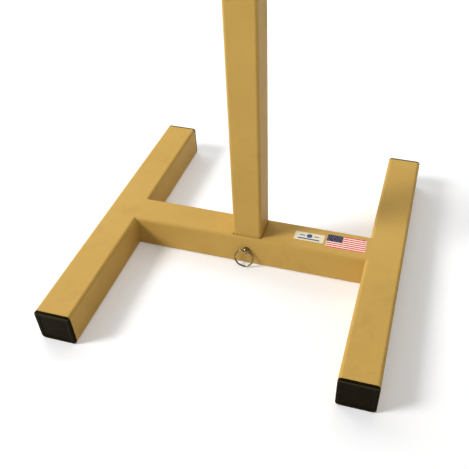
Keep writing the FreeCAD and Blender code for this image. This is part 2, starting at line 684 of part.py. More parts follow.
def make_clamp_knob():
    """The star knob: a hub, a lobed head and a blind hole for the screw. Its axis is X."""
    body = make_body("clamp_knob")
    head = make_sketch(body, "head", "YZ_Plane", lift="Dims.HubLength")
    draw_circle(head, "Dims.KnobSize")
    pad(body, head, "Dims.KnobThickness")
    hollow = make_sketch(body, "hollow", "YZ_Plane")
    draw_circle(hollow, "Dims.KnobHollow", x="Dims.KnobHollowCircle")
    cut = pocket(body, hollow, length="Dims.HubLength + Dims.KnobThickness", reverse=True)
    repeat_round(body, cut, hollow, "Dims.KnobLobes")
    face = value("Dims.HubLength + Dims.KnobThickness")
    dress(body, "Fillet", "Radius", "Dims.KnobEdge", edge_lies_at("X", face))
    hub = make_sketch(body, "hub", "YZ_Plane")
    draw_circle(hub, "Dims.HubSize")
    pad(body, hub, "Dims.HubLength")
    hole = make_sketch(body, "screw_hole", "YZ_Plane")
    draw_circle(hole, "Dims.ScrewSize")
    pocket(body, hole, length="Dims.ScrewEnd + Dims.ScrewLength - Dims.KnobStart", reverse=True)
    place(body, x="Dims.KnobStart", z=CLAMP_HEIGHT)


# ---------------------------------------------------------------- build, test and write


def test_document():
    """Stop if any object failed, or any sub-part has no sound solid."""
    for item in doc.Objects:
        if {"Invalid", "Error"} & set(item.State):
            raise RuntimeError(f"{item.Label} failed: {item.State}")
    for node in nodes:
        shape = node.Shape
        if shape.isNull() or not shape.isValid() or not shape.Solids:
            raise RuntimeError(f"{node.Label} has no valid solid")


def write_parts():
    os.makedirs(PARTS_FOLDER, exist_ok=True)
    for node in nodes:
        node.Shape.exportStep(os.path.join(PARTS_FOLDER, f"{node.Label}.step"))


make_runners()
make_crossbar()
make_socket_plates()
make_weld_seams()
make_end_caps()
make_label("maker_label", "Dims.MakerLength", "Dims.MakerWidth", "Dims.MakerStart")
make_label("flag_label", "Dims.FlagLength", "Dims.FlagWidth", "Dims.FlagStart")
make_lock_pin()
make_pull_ring()
make_detent()
make_upright()
make_sleeve_plates()
make_pole_sleeve()
make_pole_stop()
make_clamp_nut()
make_clamp_screw()
make_clamp_tip()
make_clamp_knob()
doc.recompute()
test_document()
write_parts()
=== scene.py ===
"""Looks of a flag pole stand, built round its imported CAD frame. Metres, +Z up, front is -Y."""

import json
import math

import bmesh
import bpy
from mathutils import Matrix, Vector


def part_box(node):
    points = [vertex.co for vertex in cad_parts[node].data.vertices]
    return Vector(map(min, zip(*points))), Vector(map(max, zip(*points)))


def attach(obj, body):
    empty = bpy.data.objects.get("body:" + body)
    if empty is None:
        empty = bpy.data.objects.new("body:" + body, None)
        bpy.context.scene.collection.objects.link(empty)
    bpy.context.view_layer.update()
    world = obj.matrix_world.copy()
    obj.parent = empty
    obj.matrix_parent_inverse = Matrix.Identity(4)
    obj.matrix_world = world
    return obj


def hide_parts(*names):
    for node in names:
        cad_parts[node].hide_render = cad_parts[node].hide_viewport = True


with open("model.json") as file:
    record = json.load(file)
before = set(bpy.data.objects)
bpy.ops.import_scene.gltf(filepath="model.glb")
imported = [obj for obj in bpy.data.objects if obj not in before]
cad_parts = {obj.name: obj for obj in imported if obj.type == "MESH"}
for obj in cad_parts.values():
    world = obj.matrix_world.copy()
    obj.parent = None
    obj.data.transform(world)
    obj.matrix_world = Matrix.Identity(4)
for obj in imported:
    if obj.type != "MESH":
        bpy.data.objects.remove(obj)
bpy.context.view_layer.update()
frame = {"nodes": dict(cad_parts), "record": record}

# ---------------------------------------------------------------- places read from the frame

RUNNER_LOW, RUNNER_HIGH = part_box("left_runner")
TUBE = RUNNER_HIGH.z - RUNNER_LOW.z                 # outside width of the base's square tube
UPRIGHT_LOW, UPRIGHT_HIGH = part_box("upright_tube")
WALL = UPRIGHT_LOW.z - RUNNER_LOW.z                 # the upright stands on the crossbar's floor
UPRIGHT_HALF = UPRIGHT_HIGH.x
RING_LOW, RING_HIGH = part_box("pull_ring")
PIN_LOW, PIN_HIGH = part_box("lock_pin")
KNOB_LOW, KNOB_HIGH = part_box("clamp_knob")
SCREW_LOW, SCREW_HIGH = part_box("clamp_screw")
NUT_LOW, NUT_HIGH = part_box("clamp_nut")
SLEEVE_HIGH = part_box("pole_sleeve")[1]

MM = 0.001
UP = Vector((0, 0, 1))


# ---------------------------------------------------------------- node helpers


class Shader:
    """A material under construction, with its Principled shader."""

    def __init__(self, name):
        self.material = bpy.data.materials.new(name)
        self.material.use_nodes = True
        self.tree = self.material.node_tree
        self.tree.nodes.clear()
        self.out = self.tree.nodes.new("ShaderNodeOutputMaterial")
        self.main = self.tree.nodes.new("ShaderNodeBsdfPrincipled")
        self.tree.links.new(self.main.outputs["BSDF"], self.out.inputs["Surface"])
        self.place = self.tree.nodes.new("ShaderNodeTexCoord").outputs["Object"]

    def node(self, kind, settings=None, **inputs):
        """Add a node, set its properties, and set or link its inputs by name."""
        made = self.tree.nodes.new(kind)
        for key, setting in (settings or {}).items():
            setattr(made, key, setting)
        for key, given in inputs.items():
            self.put(made.inputs[key.replace("_", " ")], given)
        return made

    def put(self, socket, given):
        """Link a socket, or give it a fixed value."""
        if isinstance(given, bpy.types.NodeSocket):
            self.tree.links.new(given, socket)
        else:
            socket.default_value = given

    def set(self, **inputs):
        """Set or link inputs of the main shader."""
        for key, given in inputs.items():
            self.put(self.main.inputs[key.replace("_", " ")], given)

    def noise(self, scale, detail=2.0, roughness=0.5):
        """Noise over the piece; scale is in ripples a metre."""
        return self.node("ShaderNodeTexNoise", Vector=self.place, Scale=scale,
                         Detail=detail, Roughness=roughness).outputs["Fac"]

    def remap(self, fac, low, high, to_low=0.0, to_high=1.0):
        """Stretch the values between low and high over a new range, and clamp them there."""
        made = self.node("ShaderNodeMapRange", {"clamp": True}, Value=fac, From_Min=low,
                         From_Max=high, To_Min=to_low, To_Max=to_high)
        return made.outputs["Result"]

    def math(self, operation, first, second):
        """Work out one number from two."""
        made = self.tree.nodes.new("ShaderNodeMath")
        made.operation = operation
        self.put(made.inputs[0], first)
        self.put(made.inputs[1], second)
        return made.outputs[0]

    def mix(self, fac, first, second, blend="MIX"):
        """Mix two colours. A Mix node's sockets for colours are the numbered ones below."""
        made = self.tree.nodes.new("ShaderNodeMix")
        made.data_type = "RGBA"
        made.blend_type = blend
        self.put(made.inputs[0], fac)
        self.put(made.inputs[6], first)
        self.put(made.inputs[7], second)
        return made.outputs[2]

    def bump(self, height, strength, distance, under=None):
        """Raise the surface by a height, on top of the bump given as under."""
        made = self.node("ShaderNodeBump", Strength=strength, Distance=distance, Height=height)
        if under is not None:
            self.put(made.inputs["Normal"], under)
        return made.outputs["Normal"]

    def near(self, centre, reach):
        """1 at a place, falling to 0 at a distance from it."""
        gap = self.tree.nodes.new("ShaderNodeVectorMath")
        gap.operation = "DISTANCE"
        self.put(gap.inputs[0], self.place)
        gap.inputs[1].default_value = centre
        return self.remap(gap.outputs["Value"], 0.0, reach, 1.0, 0.0)


def shade(red, green, blue):
    """An opaque colour, linear."""
    return (red, green, blue, 1.0)


# ---------------------------------------------------------------- materials

GOLD = shade(0.604, 0.376, 0.091)
GOLD_PALE = shade(0.650, 0.411, 0.104)
GOLD_DEEP = shade(0.558, 0.340, 0.079)
RUBBED = shade(0.300, 0.250, 0.170)
SMUDGE = shade(0.440, 0.275, 0.070)
PIN_RUB_REACH = 0.026      # how far the rub marks spread from the ring pin
NUT_RUB_REACH = 0.018      # and from the clamp nut


def powder_coat():
    """Matt gold-tan powder coat: faint clouds and smudges, orange peel, rubs at the fittings."""
    paint = Shader("gold_powder_coat")
    cloud = paint.noise(7.0, detail=3.0)
    tone = paint.mix(paint.remap(cloud, 0.35, 0.65), GOLD_DEEP, GOLD_PALE)
    tone = paint.mix(0.45, GOLD, tone)
    speck = paint.remap(paint.noise(1400.0, detail=1.0), 0.3, 0.7, 0.96, 1.03)
    grain = paint.node("ShaderNodeCombineColor", Red=speck, Green=speck, Blue=speck)
    tone = paint.mix(1.0, tone, grain.outputs["Color"], "MULTIPLY")
    scuff = paint.remap(paint.noise(260.0, detail=4.0, roughness=0.7), 0.60, 0.68)
    pin_place = (0, -TUBE / 2, (PIN_LOW.z + PIN_HIGH.z) / 2)
    nut_place = (NUT_HIGH.x, 0, (NUT_LOW.z + NUT_HIGH.z) / 2)
    rub = paint.math("MAXIMUM", paint.near(pin_place, PIN_RUB_REACH),
                     paint.near(nut_place, NUT_RUB_REACH))
    worn = paint.math("MULTIPLY", scuff, paint.remap(rub, 0.2, 0.8, 0.0, 0.55))
    handled = paint.remap(paint.noise(20.0, detail=5.0, roughness=0.62), 0.52, 0.72, 0.0, 0.26)
    tone = paint.mix(handled, tone, SMUDGE)
    paint.set(Base_Color=paint.mix(worn, tone, RUBBED))
    paint.set(Roughness=paint.remap(paint.noise(45.0, detail=3.0), 0.3, 0.7, 0.40, 0.50))
    paint.set(Specular_IOR_Level=0.10)
    peel = paint.bump(paint.noise(420.0, detail=2.0), 0.10, 0.0006)
    paint.set(Normal=paint.bump(paint.noise(2200.0, detail=1.0), 0.05, 0.0002, under=peel))
    return paint.material


CAP_HIGHLIGHT_TOP = TUBE - 1.8 * MM           # a painted highlight: a paler band near the cap's top, where its bevel catches the light
CAP_HIGHLIGHT_LOW = TUBE - 5.2 * MM
CAP_HIGHLIGHT_SOFT = (1.0 * MM, 1.2 * MM)     # how far the painted highlight band fades at its top and its bottom


def cap_plastic():
    """Moulded black polyethylene with a faint grain, a few scuffs and a painted highlight, a paler
    band along the top bevel.
    """
    plastic = Shader("black_plastic")
    cloud = plastic.remap(plastic.noise(60.0, detail=3.0), 0.35, 0.65)
    tone = plastic.mix(cloud, shade(0.0085, 0.0054, 0.0016), shade(0.0125, 0.0080, 0.0025))
    scuff = plastic.remap(plastic.noise(380.0, detail=5.0, roughness=0.75), 0.66, 0.74, 0.0, 0.30)
    split = plastic.node("ShaderNodeSeparateXYZ", Vector=plastic.place)
    height = split.outputs["Z"]
    fade_top, fade_low = CAP_HIGHLIGHT_SOFT
    # painted highlight: between these heights the colour is mixed towards a pale olive, in place
    # of the light on the top bevel
    edge = plastic.math(
        "MULTIPLY", plastic.remap(height, CAP_HIGHLIGHT_LOW, CAP_HIGHLIGHT_LOW + fade_low),
        plastic.remap(height, CAP_HIGHLIGHT_TOP - fade_top, CAP_HIGHLIGHT_TOP, 1.0, 0.0))
    tone = plastic.mix(plastic.math("MULTIPLY", edge, 0.75), tone, shade(0.075, 0.066, 0.026))
    plastic.set(Base_Color=plastic.mix(scuff, tone, shade(0.05, 0.040, 0.022)))
    plastic.set(Roughness=plastic.remap(plastic.noise(90.0), 0.3, 0.7, 0.28, 0.40))
    plastic.set(Specular_IOR_Level=0.025)
    plastic.set(Specular_Tint=shade(1.0, 0.82, 0.55))
    plastic.set(Normal=plastic.bump(plastic.noise(1500.0, detail=3.0), 0.12, 0.0003))
    return plastic.material


def polished_steel(name, tone_low, tone_high, rough_low, rough_high):
    """Steel with a thin uneven tarnish and fine wiping marks."""
    steel = Shader(name)
    stain = steel.remap(steel.noise(170.0, detail=4.0, roughness=0.6), 0.35, 0.7)
    steel.set(Base_Color=steel.mix(stain, tone_high, tone_low))
    steel.set(Metallic=1.0)
    steel.set(Roughness=steel.remap(steel.noise(500.0, detail=3.0), 0.3, 0.7, rough_low,
                                    rough_high))
    steel.set(Normal=steel.bump(steel.noise(2600.0, detail=2.0), 0.06, 0.0001))
    return steel.material


def knob_plastic():
    """Black phenolic: glossier than the caps, with a faint mottling."""
    plastic = Shader("black_knob")
    cloud = plastic.remap(plastic.noise(140.0, detail=3.0), 0.35, 0.65)
    plastic.set(Base_Color=plastic.mix(cloud, shade(0.010, 0.010, 0.010),
                                       shade(0.018, 0.017, 0.016)))
    plastic.set(Roughness=plastic.remap(plastic.noise(220.0, detail=4.0), 0.3, 0.7, 0.25, 0.38))
    plastic.set(Normal=plastic.bump(plastic.noise(1800.0, detail=2.0), 0.06, 0.0002))
    return plastic.material


def nylon():
    """Natural nylon, slightly waxy."""
    soft = Shader("nylon")
    cloud = soft.remap(soft.noise(300.0, detail=3.0), 0.35, 0.65)
    soft.set(Base_Color=soft.mix(cloud, shade(0.70, 0.66, 0.55), shade(0.80, 0.77, 0.68)))
    soft.set(Roughness=soft.remap(soft.noise(500.0), 0.3, 0.7, 0.42, 0.55))
    soft.set(Normal=soft.bump(soft.noise(1600.0), 0.05, 0.0002))
    return soft.material


def vinyl(name, tone, tone_worn):
    """Printed label film: even ink with a little fading, under a thin gloss."""
    film = Shader(name)
    fade = film.remap(film.noise(130.0, detail=4.0), 0.40, 0.75)
    film.set(Base_Color=film.mix(fade, tone, tone_worn))
    film.set(Roughness=film.remap(film.noise(300.0), 0.3, 0.7, 0.40, 0.50))
    film.set(Specular_IOR_Level=0.12)
    film.set(Normal=film.bump(film.noise(900.0, detail=2.0), 0.04, 0.0002))
    return film.material


def pale_floor():
    """A plain pale studio floor, fading far off into the backdrop."""
    ground = Shader("pale_floor")
    cloud = ground.remap(ground.noise(1.5), 0.3, 0.7)
    ground.set(Base_Color=ground.mix(cloud, shade(0.88, 0.88, 0.88), shade(0.90, 0.90, 0.90)))
    ground.set(Roughness=0.9)
    ground.set(Emission_Color=shade(1.0, 1.0, 1.0))
    seen = ground.node("ShaderNodeLightPath").outputs["Is Camera Ray"]
    close = ground.near((0, 0, 0), FLOOR_FADE)
    lift = ground.remap(close, 0.0, 0.8, BACKDROP, FLOOR_LIFT)
    backdrop = ground.math("MULTIPLY", seen, lift)
    ground.set(Emission_Strength=ground.math("ADD", backdrop, FLOOR_GLOW))
    return ground.material


# ---------------------------------------------------------------- mesh helpers


def make_piece(name, mesh, materials, body):
    """Wrap a bmesh as a named piece that rides on a CAD body."""
    data = bpy.data.meshes.new(name)
    bmesh.ops.recalc_face_normals(mesh, faces=mesh.faces)
    mesh.to_mesh(data)
    mesh.free()
    for material in materials:
        data.materials.append(material)
    piece = bpy.data.objects.new(name, data)
    bpy.context.scene.collection.objects.link(piece)
    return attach(piece, body)


def smooth_by_angle(piece, degrees=35.0):
    """Smooth the shading except across edges sharper than an angle."""
    data = piece.data
    for face in data.polygons:
        face.use_smooth = True
    data.set_sharp_from_angle(angle=math.radians(degrees))


def square_loop(half, radius, height, steps=8):
    """Points round a square with rounded corners, in a plane across Z."""
    centre = half - radius
    points = []
    for quarter in range(4):
        turn = math.pi / 2 * quarter
        middle = Matrix.Rotation(turn, 3, "Z") @ Vector((centre, centre, 0))
        for step in range(steps + 1):
            angle = turn + math.pi / 2 * step / steps
            points.append(middle + radius * Vector((math.cos(angle), math.sin(angle), 0)))
    return [point + Vector((0, 0, height)) for point in points]


def round_loop(radius, height, steps=48):
    """Points round a circle, in a plane across Z."""
    turn = 2 * math.pi / steps
    return [Vector((radius * math.cos(turn * i), radius * math.sin(turn * i), height))
            for i in range(steps)]


def loft(loops, ring=False):
    """Join loops of equal length with quads, and close the ends, or join them into a ring."""
    mesh = bmesh.new()
    rows = [[mesh.verts.new(point) for point in loop] for loop in loops]
    pairs = list(zip(rows, rows[1:]))
    if ring:
        pairs.append((rows[-1], rows[0]))
    for low, high in pairs:
        for i in range(len(low)):
            after = (i + 1) % len(low)
            mesh.faces.new((low[i], low[after], high[after], high[i]))
    if not ring:
        mesh.faces.new(list(reversed(rows[0])))
        mesh.faces.new(rows[-1])
    return mesh


def move(mesh, matrix):
    """Move a bmesh, and return it."""
    bmesh.ops.transform(mesh, matrix=matrix, verts=mesh.verts)
    return mesh


# ---------------------------------------------------------------- end caps


def cap_loops(half, inside_half, flange, plug):
    """The cap's outline from its dished face, over the flange, down the ribbed plug and inside."""
    corner = 7.6 * MM
    rim = 8.5 * MM
    small = 2.6 * MM
    face = [
        (half - rim - 1.2 * MM, corner * 0.55, flange - 0.9 * MM),
        (half - rim - 0.9 * MM, corner * 0.58, flange - 0.9 * MM),
        (half - rim - 0.2 * MM, corner * 0.60, flange - 0.2 * MM),
        (half - rim + 0.3 * MM, corner * 0.62, flange),
        (half - 3.0 * MM, corner * 0.80, flange),
        (half - 2.0 * MM, corner * 0.86, flange - 0.10 * MM),
        (half - 1.1 * MM, corner * 0.93, flange - 0.40 * MM),
        (half - 0.4 * MM, corner * 0.97, flange - 0.95 * MM),
        (half, corner, flange - 1.8 * MM),
        (half, corner, 0.5 * MM),
        (half - 0.4 * MM, corner * 0.96, 0.0),
    ]
    rib_height = 2.2 * MM
    rib_edge = inside_half - 0.1 * MM
    rib_spacing = 6.0 * MM
    first_rib = -3.0 * MM
    wall = 2.5 * MM
    neck = inside_half - rib_height
    body = [(neck, small, 0.0)]
    for rib in range(3):
        top = first_rib - rib * rib_spacing
        body += [
            (neck, small, top),
            (rib_edge, small, top - 0.4 * MM),
            (rib_edge, small, top - 1.0 * MM),
            (neck, small, top - 1.4 * MM),
        ]
    hollow = neck - wall
    inner = [(neck, small, -plug), (hollow, small / 2, -plug), (hollow, small / 2, -1.0 * MM)]
    return [square_loop(*station) for station in face + body + inner]


def build_caps(material):
    """Four ribbed plug caps with a raised rim and a dished panel."""
    for side in ("left", "right"):
        for end, outward in (("front", -1), ("rear", 1)):
            node = f"{side}_{end}_cap"
            low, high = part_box(node)
            tube_end = outward * RUNNER_HIGH.y
            flange = abs((low.y if outward < 0 else high.y) - tube_end)
            plug = (high.y - low.y) - flange
            mesh = loft(cap_loops(TUBE / 2, TUBE / 2 - WALL, flange, plug))
            turn = Matrix.Rotation(math.radians(-90 * outward), 4, "X")
            middle = Vector(((low.x + high.x) / 2, tube_end, TUBE / 2))
            move(mesh, Matrix.Translation(middle) @ turn)
            cap = make_piece(f"{node}_moulding", mesh, [material], "stand")
            smooth_by_angle(cap, 40.0)
            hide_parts(node)


# ---------------------------------------------------------------- labels


def rectangle(x0, y0, x1, y1):
    """Corners of a rectangle."""
    return [(x0, y0), (x1, y0), (x1, y1), (x0, y1)]


def rounded_rectangle(x0, y0, x1, y1, radius, steps=5):
    """Corners of a rectangle with rounded corners."""
    points = []
    corners = ((x1 - radius, y1 - radius, 0), (x0 + radius, y1 - radius, 1),
               (x0 + radius, y0 + radius, 2), (x1 - radius, y0 + radius, 3))
    for cx, cy, quarter in corners:
        for step in range(steps + 1):
            angle = math.pi / 2 * (quarter + step / steps)
            points.append((cx + radius * math.cos(angle), cy + radius * math.sin(angle)))
    return points


def slab(mesh, outline, low, high, slot):
    """A thin solid plate with an outline."""
    bottom = [mesh.verts.new(Vector((x, y, low))) for x, y in outline]
    top = [mesh.verts.new(Vector((x, y, high))) for x, y in outline]
    faces = [mesh.faces.new(top), mesh.faces.new(list(reversed(bottom)))]
    for i in range(len(outline)):
        after = (i + 1) % len(outline)
        faces.append(mesh.faces.new((bottom[i], bottom[after], top[after], top[i])))
    for face in faces:
        face.material_index = slot


def star_outline(cx, cy, radius):
    """A five-pointed star."""
    points = []
    for i in range(10):
        reach = radius if i % 2 == 0 else radius * 0.38
        angle = math.pi / 2 + i * math.pi / 5
        points.append((cx + reach * math.cos(angle), cy + reach * math.sin(angle)))
    return points


BACKING, FIRST_INK, SECOND_INK = range(3)     # a label's material slots
STRIPES = 13
CANTON_STRIPES = 7         # how many stripes the canton is deep


def build_flag_label(white, red, blue):
    """The flag label: thirteen stripes, and a canton of stars at its rear left."""
    low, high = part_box("flag_label")
    width, height = high.x - low.x, high.y - low.y
    film = low.z + 0.12 * MM
    ink = high.z - 0.02 * MM
    mesh = bmesh.new()
    slab(mesh, rounded_rectangle(low.x, low.y, high.x, high.y, 1.0 * MM), low.z, film, BACKING)
    edge = 0.35 * MM
    stripe = (height - 2 * edge) / STRIPES
    canton_right = low.x + edge + 0.40 * (width - 2 * edge)
    for row in range(STRIPES):
        y1 = high.y - edge - row * stripe
        x0 = canton_right if row < CANTON_STRIPES else low.x + edge
        slot = FIRST_INK if row % 2 == 0 else BACKING
        slab(mesh, rectangle(x0, y1 - stripe, high.x - edge, y1), film, ink, slot)
    canton_low = high.y - edge - CANTON_STRIPES * stripe
    slab(mesh, rectangle(low.x + edge, canton_low, canton_right, high.y - edge), film, ink,
         SECOND_INK)
    step_x = (canton_right - low.x - edge) / 12
    step_y = CANTON_STRIPES * stripe / 10
    for row in range(9):
        for column in range(6 - row % 2):
            x = low.x + edge + step_x * (1 + 2 * column + row % 2)
            y = high.y - edge - step_y * (row + 1)
            slab(mesh, star_outline(x, y, step_y * 0.33), ink, high.z, BACKING)
    label = make_piece("flag_decal", mesh, [white, red, blue], "stand")
    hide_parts("flag_label")


def build_maker_label(white, slate, grey):
    """A plain label with a disc and ruled bars in place of any mark or lettering."""
    low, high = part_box("maker_label")
    width, height = high.x - low.x, high.y - low.y
    film = low.z + 0.14 * MM
    ink = high.z
    mesh = bmesh.new()
    slab(mesh, rounded_rectangle(low.x, low.y, high.x, high.y, 1.5 * MM), low.z, film, BACKING)
    middle = (low.x + high.x) / 2
    disc_y = low.y + 0.62 * height
    disc_radius = 0.24 * height
    disc = [(middle + disc_radius * math.cos(math.tau * i / 40),
             disc_y + disc_radius * math.sin(math.tau * i / 40)) for i in range(40)]
    slab(mesh, disc, film, ink, FIRST_INK)
    for side in (-1, 1):
        inner = middle + side * 0.16 * width
        outer = middle + side * 0.33 * width
        slab(mesh, rectangle(min(inner, outer), disc_y - 0.05 * height, max(inner, outer),
                             disc_y + 0.05 * height), film, ink, SECOND_INK)
    slab(mesh, rectangle(middle - 0.36 * width, low.y + 0.16 * height, middle + 0.36 * width,
                         low.y + 0.30 * height), film, ink, FIRST_INK)
    label = make_piece("maker_decal", mesh, [white, slate, grey], "stand")
    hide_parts("maker_label")


# ---------------------------------------------------------------- ring pin


def build_pull_ring(material):
    """A round wire ring with a small butt weld low on one side."""
    swing = next(joint for joint in frame["record"]["behaviour"]["joints"]
                 if joint["name"] == "ring_swing")
    eye = Vector(swing["pos_m"])
    along = Vector(swing["axis"]).normalized()
    middle = (RING_LOW + RING_HIGH) / 2
    down = (middle - eye).normalized()
    radius = (middle - eye).length
    wire = (RING_HIGH.x - RING_LOW.x) / 2 - radius * math.hypot(along.x, down.x)
    across = along.cross(down).normalized()
    weld_angle = math.radians(40)
    weld_spread = 0.05
    weld_height = 0.12 * MM
    thinner = 0.03 * MM
    steps = 144
    loops = []
    for i in range(steps):
        angle = math.tau * i / steps
        out = math.cos(angle) * down + math.sin(angle) * along
        lump = weld_height * math.exp(-((angle - weld_angle) / weld_spread) ** 2)
        loop = []
        for j in range(20):
            around = math.tau * j / 20
            reach = math.cos(around) * out + math.sin(around) * across
            loop.append(middle + radius * out + (wire + lump - thinner) * reach)
        loops.append(loop)
    ring = make_piece("pull_ring_wire", loft(loops, ring=True), [material], "pull_ring")
    smooth_by_angle(ring, 60.0)
    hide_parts("pull_ring")


# ---------------------------------------------------------------- clamp


def build_knob(material):
    """A star knob: a stepped hub under a head with six rounded lobes and a dished face."""
    length = KNOB_HIGH.x - KNOB_LOW.x
    hub_length = 7.0 * MM
    hub = 10.0 * MM
    reach = (KNOB_HIGH.y - KNOB_LOW.y) / 2
    steps = 144
    lobe_count = 6
    lobe_depth = 0.085
    lobe_squareness = 0.012
    mean = 0.90 * reach
    stations = (
        (hub * 0.55, 0.0, 0.0), (hub * 0.92, 0.0, 0.0), (hub, 0.6 * MM, 0.0),
        (hub, hub_length * 0.55, 0.0), (hub * 1.12, hub_length * 0.92, 0.05),
        (mean * 0.72, hub_length + 0.2 * MM, 0.5), (mean * 0.93, hub_length + 1.0 * MM, 0.95),
        (mean, hub_length + 2.6 * MM, 1.0), (mean, length - 4.0 * MM, 1.0),
        (mean * 0.975, length - 2.0 * MM, 0.98), (mean * 0.90, length - 0.7 * MM, 0.9),
        (mean * 0.78, length - 0.15 * MM, 0.7), (mean * 0.62, length, 0.4),
        (mean * 0.40, length - 0.5 * MM, 0.1), (mean * 0.30, length - 0.9 * MM, 0.0),
        (mean * 0.10, length - 1.0 * MM, 0.0),
    )
    loops = []
    for radius, height, lobes in stations:
        loop = []
        for i in range(steps):
            angle = math.tau * i / steps
            wave = (lobe_depth * math.cos(lobe_count * angle)
                    + lobe_squareness * math.cos(2 * lobe_count * angle))
            swell = 1 + lobes * wave
            loop.append(Vector((radius * swell * math.cos(angle),
                                radius * swell * math.sin(angle), height)))
        loops.append(loop)
    mesh = loft(loops)
    start = Vector((KNOB_LOW.x, 0, (KNOB_LOW.z + KNOB_HIGH.z) / 2))
    move(mesh, Matrix.Translation(start) @ Matrix.Rotation(math.pi / 2, 4, "Y"))
    knob = make_piece("star_knob", mesh, [material], "clamp_screw")
    smooth_by_angle(knob, 50.0)
    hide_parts("clamp_knob")


THREAD_PITCH = 1.5 * MM
SCREW_OUTER = (SCREW_HIGH.z - SCREW_LOW.z) / 2
THREAD_ROOT = SCREW_OUTER - 0.61 * THREAD_PITCH
SCREW_HEIGHT = (SCREW_LOW.z + SCREW_HIGH.z) / 2
STUB_RADIUS = 2.25 * MM
STUB_LENGTH = 2.8 * MM
SHAFT_CHAMFER = 0.6 * MM
SHAFT_INSET = 0.03 * MM      # keeps the shaft's skin just inside the thread's root


def thread_mesh():
    """The helical thread, growing out of the shaft over its first turn."""
    per_turn = 32
    start = SCREW_LOW.x + STUB_LENGTH
    turns = int((SCREW_HIGH.x - start) / THREAD_PITCH) - 1
    profile = ((0.0, THREAD_ROOT), (0.10, THREAD_ROOT), (0.44, SCREW_OUTER),
               (0.56, SCREW_OUTER), (0.90, THREAD_ROOT))
    mesh = bmesh.new()
    rows = []
    for i in range(turns * per_turn + 1):
        angle = math.tau * i / per_turn
        along = start + THREAD_PITCH * i / per_turn
        growth = min(1.0, i / per_turn)
        row = []
        for share, radius in profile:
            reach = THREAD_ROOT + (radius - THREAD_ROOT) * growth
            row.append(mesh.verts.new(Vector((along + share * THREAD_PITCH,
                                              reach * math.sin(angle),
                                              SCREW_HEIGHT + reach * math.cos(angle)))))
        rows.append(row)
    for low, high in zip(rows, rows[1:]):
        for a, b, c, d in zip(low, low[1:], high[1:], high):
            mesh.faces.new((a, b, c, d))
    for i in range(len(rows) - per_turn - 1):
        mesh.faces.new((rows[i][-1], rows[i + per_turn][0], rows[i + 1 + per_turn][0],
                        rows[i + 1][-1]))
    return mesh


def shaft_mesh():
    """The shaft under the thread, with a plain stub and a chamfer at its tip end."""
    skin = THREAD_ROOT - SHAFT_INSET
    shaft = loft([
        round_loop(STUB_RADIUS, 0.0), round_loop(STUB_RADIUS, STUB_LENGTH),
        round_loop(THREAD_ROOT * 0.9, STUB_LENGTH),
        round_loop(skin, STUB_LENGTH + SHAFT_CHAMFER),
        round_loop(skin, SCREW_HIGH.x - SCREW_LOW.x),
    ])
    return move(shaft, Matrix.Translation(Vector((SCREW_LOW.x, 0, SCREW_HEIGHT)))
                @ Matrix.Rotation(math.pi / 2, 4, "Y"))


def build_screw(material):
    """The clamp screw: a real thread on a shaft with a plain stub."""
    screw = make_piece("clamp_screw_thread", thread_mesh(), [material], "clamp_screw")
    smooth_by_angle(screw, 30.0)
    shaft = make_piece("clamp_screw_core", shaft_mesh(), [material], "clamp_screw")
    smooth_by_angle(shaft, 30.0)
    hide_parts("clamp_screw")


def ring_bead(name, radius, centre, axis_turn, size, ripples, material, body):
    """A weld bead laid round a circle, with the ripples that the torch leaves."""
    steps = ripples * 8
    loops = []
    for i in range(steps):
        angle = math.tau * i / steps
        out = Vector((math.cos(angle), math.sin(angle), 0))
        swell = size * (1 + 0.10 * math.cos(ripples * angle) + 0.05 * math.sin(3 * angle))
        loop = []
        for j in range(12):
            around = math.tau * j / 12
            loop.append(radius * out + swell * (math.cos(around) * out + math.sin(around) * UP))
        loops.append(loop)
    mesh = move(loft(loops, ring=True), Matrix.Translation(centre) @ axis_turn)
    bead = make_piece(name, mesh, [material], body)
    smooth_by_angle(bead, 60.0)


def build_top_welds(paint):
    """The bead round the sleeve's mouth, and the one that holds the clamp nut."""
    sleeve_bead = 1.3 * MM
    sleeve_ripples = 36
    sleeve_mouth = Vector((0, 0, SLEEVE_HIGH.z - 0.9 * MM))
    ring_bead("sleeve_weld", SLEEVE_HIGH.x + 0.1 * MM, sleeve_mouth, Matrix.Identity(4),
              sleeve_bead, sleeve_ripples, paint, "stand")
    nut_bead = 1.5 * MM
    nut_ripples = 26
    nut_radius = (NUT_HIGH.y - NUT_LOW.y) / 2
    nut_foot = Vector((UPRIGHT_HALF + 0.3 * MM, 0, (NUT_LOW.z + NUT_HIGH.z) / 2))
    ring_bead("nut_weld", nut_radius + 0.7 * MM, nut_foot, Matrix.Rotation(math.pi / 2, 4, "Y"),
              nut_bead, nut_ripples, paint, "stand")


# ---------------------------------------------------------------- studio

CAMERA_PLACE = Vector((0.32, -1.01, 0.987))
CAMERA_HEADING = 15.9      # degrees to the left of +Y
CAMERA_PITCH = -43.0       # degrees above level
CAMERA_ROLL = -0.5         # degrees
CAMERA_LENS = 48.3
CAMERA_SHIFT = (-0.066, 0.038)


def turn_matrix(degrees, axis):
    """A turn about an axis."""
    return Matrix.Rotation(math.radians(degrees), 4, axis)


def build_camera():
    """A camera a little right of the stand, above it and looking down at the base."""
    data = bpy.data.cameras.new("studio_camera")
    data.lens = CAMERA_LENS
    data.sensor_width = 36.0
    data.shift_x, data.shift_y = CAMERA_SHIFT
    data.clip_start = 0.01
    data.clip_end = 50.0
    camera = bpy.data.objects.new("studio_camera", data)
    bpy.context.scene.collection.objects.link(camera)
    aim = turn_matrix(CAMERA_HEADING, "Z") @ turn_matrix(90 + CAMERA_PITCH, "X")
    camera.matrix_world = (Matrix.Translation(CAMERA_PLACE) @ aim
                           @ turn_matrix(CAMERA_ROLL, "Z"))
    bpy.context.scene.camera = camera


